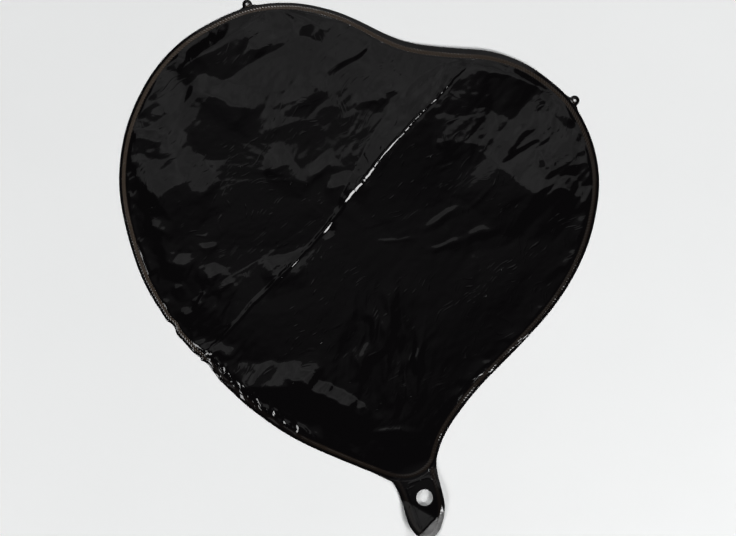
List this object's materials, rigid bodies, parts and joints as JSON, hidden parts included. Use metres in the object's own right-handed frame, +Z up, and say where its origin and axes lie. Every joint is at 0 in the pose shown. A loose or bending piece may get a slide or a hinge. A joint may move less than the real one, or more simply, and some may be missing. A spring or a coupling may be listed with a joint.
{
  "type": "heart-shaped foil balloon",
  "caption": "Empty heart-shaped foil balloon lying flat, with a sealed edge, hanging tabs, a tail with a nozzle hole and a flat film valve.",
  "frame": {"origin": "middle of the flat outline, on the surface that the balloon lies on", "axes": "+X to the lobe with the lower tab, +Y from the tail towards the lobes, +Z up out of the front panel"},
  "size_m": [0.45, 0.505, 0.0097],
  "materials": {
    "front_film": "black printed metallised film, glossy, crinkled",
    "back_film": "black printed metallised film, glossy, smooth",
    "valve_film": "clear limp polyethylene film"
  },
  "bodies": {
    "root": {"back_panel": "back_film", "valve_back_ply": "valve_film", "valve_front_ply": "valve_film", "front_panel": "front_film"}
  },
  "joints": []
}
